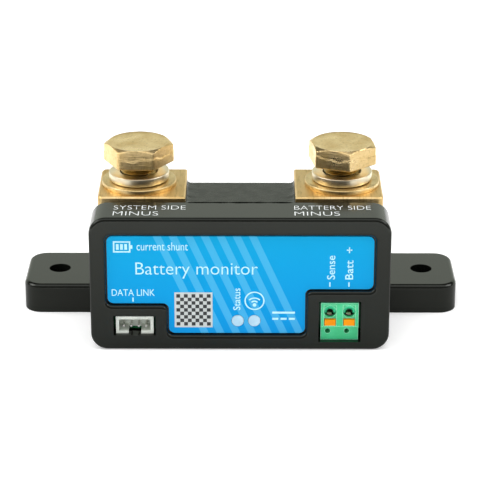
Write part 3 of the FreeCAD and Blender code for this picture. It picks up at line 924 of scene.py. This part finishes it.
# %% Beads beside the blocks and along the seam
centre_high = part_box("centre_cover")[1]
cover_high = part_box("front_cover")[1]
block_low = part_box("right_block")[0]
seam_z = cover_high.z - 0.35 * MM
for side, sign in (("left", -1.0), ("right", 1.0)):
    face_x = sign * block_low.x
    bead(side + "_block_bead", (face_x, block_low.y + 0.2 * MM, centre_high.z),
         (face_x, centre_high.y - 0.6 * MM, centre_high.z), (-sign, 0, 0), 1.6 * MM, 4.2 * MM, seed=5)
bead("seam_bead", (-block_low.x, cover_high.y, seam_z), (block_low.x, cover_high.y, seam_z), (0, 1, 0),
     0.55 * MM, 0.5 * MM, seed=9)
print("beads laid, steps in each:", BEAD_STEPS)

# %% [markdown]
# ## Print
# Lettering and symbols are thin sheets just above the surface they are printed on. Text comes
# from Blender's own font as a curve, turned into a mesh. All of it is generic wording.

# %% Lettering
LIFT = 0.02 * MM
ACROSS = Vector((1.0, 0.0, 0.0))
BACK = Vector((0.0, 1.0, 0.0))
UP = Vector((0.0, 0.0, 1.0))
THINNED = -0.018
LIGHT = -0.008
PLAIN = 0.0
HEAVY = 0.006


def lettering(name, words, corner, height, width, finish, along, rise, weight):
    """A line of text from a corner, fitted to a height and a width, in two directions."""
    curve = bpy.data.curves.new(name, "FONT")
    curve.body = words
    curve.resolution_u = 4
    curve.offset = weight
    text = in_scene(name, curve)
    bpy.context.view_layer.update()
    mesh = bpy.data.meshes.new_from_object(text)
    bpy.data.objects.remove(text)
    mesh.materials.clear()
    xs = [v.co.x for v in mesh.vertices]
    ys = [v.co.y for v in mesh.vertices]
    left = min(xs)
    foot = min(ys)
    wide = width / (max(xs) - left)
    tall = height / (max(ys) - foot)
    for v in mesh.vertices:
        v.co = Vector(corner) + along * (v.co.x - left) * wide + rise * (v.co.y - foot) * tall
    finished(in_scene(name, mesh), finish, "casing")


# %% Terminal names on the top face
NAME_HEIGHT = 2.85 * MM
top_z = cover_high.z + LIFT
for side, words, left, wide in (("left", "SYSTEM SIDE", -33.4, 19.0), ("right", "BATTERY SIDE", 14.3, 20.2)):
    lettering(side + "_side_name", words, (left * MM, -30.25 * MM, top_z), NAME_HEIGHT, wide * MM,
              white_ink, ACROSS, BACK, THINNED)
    lettering(side + "_side_pole", "MINUS", (left * MM, -34.55 * MM, top_z), NAME_HEIGHT, 11.9 * MM,
              white_ink, ACROSS, BACK, THINNED)
print("top face height, mm:", round(cover_high.z / MM, 2))

# %% Words on the label
face_y = label_low.y - LIFT


def level_words(name, words, x, z, height, width, weight):
    """A line of text along the label, with its sizes in millimetres."""
    lettering(name, words, (x * MM, face_y, z * MM), height * MM, width * MM, label_ink, ACROSS, UP, weight)


def upright_words(name, words, x, z, height, width):
    """A line of text that reads up the label, with its sizes in millimetres."""
    lettering(name, words, (x * MM, face_y, z * MM), height * MM, width * MM, label_ink, UP, -ACROSS, HEAVY)


level_words("label_title", "Battery monitor", -27.6, 20.2, 4.6, 32.3, LIGHT)
level_words("label_kind", "current shunt", -27.2, 28.2, 2.3, 13.5, PLAIN)
level_words("data_name", "DATA LINK", -34.0, 15.2, 1.9, 11.4, PLAIN)
upright_words("status_name", "Status", 0.1, 11.1, 1.9, 6.3)
upright_words("sense_name", "Sense", 25.1, 20.0, 2.1, 6.8)
upright_words("supply_name", "Batt  +", 29.9, 20.0, 2.1, 9.2)
print("label lettered")

# %% [markdown]
# The small symbols are rectangles and stretches of ring. Three ticks point at the connectors, a
# full line over a dashed one means direct current, and the two signs are a battery and a signal.

# %% Bars, rings and arcs
ARC_STEPS = 28


def bar(name, x0, x1, z0, z1, finish=label_ink):
    """A printed rectangle on the label, given in millimetres."""
    mesh = bpy.data.meshes.new(name)
    corners = [(x * MM, face_y, z * MM) for x, z in ((x0, z0), (x1, z0), (x1, z1), (x0, z1))]
    mesh.from_pydata(corners, [], [(0, 1, 2, 3)])
    finished(in_scene(name, mesh), finish, "casing")


def arc_band(name, centre, radius, width, start, end):
    """A printed stretch of ring on the label."""
    rows = []
    for k in range(ARC_STEPS + 1):
        a = math.radians(start + (end - start) * k / ARC_STEPS)
        rows.append([((centre[0] + r * math.cos(a)) * MM, face_y, (centre[1] + r * math.sin(a)) * MM)
                     for r in (radius - width / 2, radius + width / 2)])
    piece = grid_mesh(name, rows, closed_round=False)
    finished(piece, label_ink, "casing")


bar("data_tick", -28.55, -28.2, 13.5, 14.7)
bar("sense_tick", 23.6, 23.95, 17.9, 19.2)
bar("supply_tick", 28.65, 29.0, 17.9, 19.2)
bar("direct_line", 8.6, 14.6, 10.1, 10.7)
for i in range(3):
    bar(f"direct_dash_{i + 1}", 8.6 + 2.2 * i, 10.2 + 2.2 * i, 8.3, 8.9)
print("ticks printed")

# %% Battery sign and signal sign
bar("battery_sign_low", -33.4, -28.8, 27.6, 28.0)
bar("battery_sign_high", -33.4, -28.8, 30.4, 30.8)
bar("battery_sign_left", -33.4, -33.0, 28.0, 30.4)
bar("battery_sign_right", -29.2, -28.8, 28.0, 30.4)
bar("battery_sign_cap", -28.8, -28.3, 28.7, 29.7)
for i in range(3):
    bar(f"battery_sign_cell_{i + 1}", -32.6 + 1.1 * i, -31.9 + 1.1 * i, 28.4, 30.0)
signal_foot = (3.85, 12.6)
arc_band("signal_sign_ring", (3.85, 13.8), 2.5, 0.35, 0.0, 360.0)
arc_band("signal_sign_dot", signal_foot, 0.25, 0.5, 0.0, 360.0)
for i in range(2):
    arc_band(f"signal_sign_arc_{i + 1}", signal_foot, 1.1 + 0.9 * i, 0.35, 45.0, 135.0)
print("signs printed")

# %% A plain chequered patch
PATCH_LEFT = -17.4
PATCH_LOW = 6.1
PATCH_SIDE = 10.1
PATCH_MARGIN = 0.5
PATCH_CELLS = 9


def chequered_patch():
    """A pale square with an even chequer of dark squares, which encodes nothing."""
    bar("patch_ground", PATCH_LEFT, PATCH_LEFT + PATCH_SIDE, PATCH_LOW, PATCH_LOW + PATCH_SIDE, patch_ink)
    cell = (PATCH_SIDE - 2 * PATCH_MARGIN) / PATCH_CELLS
    work = bmesh.new()
    for i in range(PATCH_CELLS):
        for j in range(PATCH_CELLS):
            if (i + j) % 2:
                continue
            x0 = PATCH_LEFT + PATCH_MARGIN + i * cell
            z0 = PATCH_LOW + PATCH_MARGIN + j * cell
            corners = ((x0, z0), (x0 + cell, z0), (x0 + cell, z0 + cell), (x0, z0 + cell))
            work.faces.new([work.verts.new((x * MM, face_y - LIFT, z * MM)) for x, z in corners])
    mesh = bpy.data.meshes.new("patch_chequer")
    work.to_mesh(mesh)
    work.free()
    finished(in_scene("patch_chequer", mesh), dark_ink, "casing")


chequered_patch()
print("patch printed, cells on a side:", PATCH_CELLS)
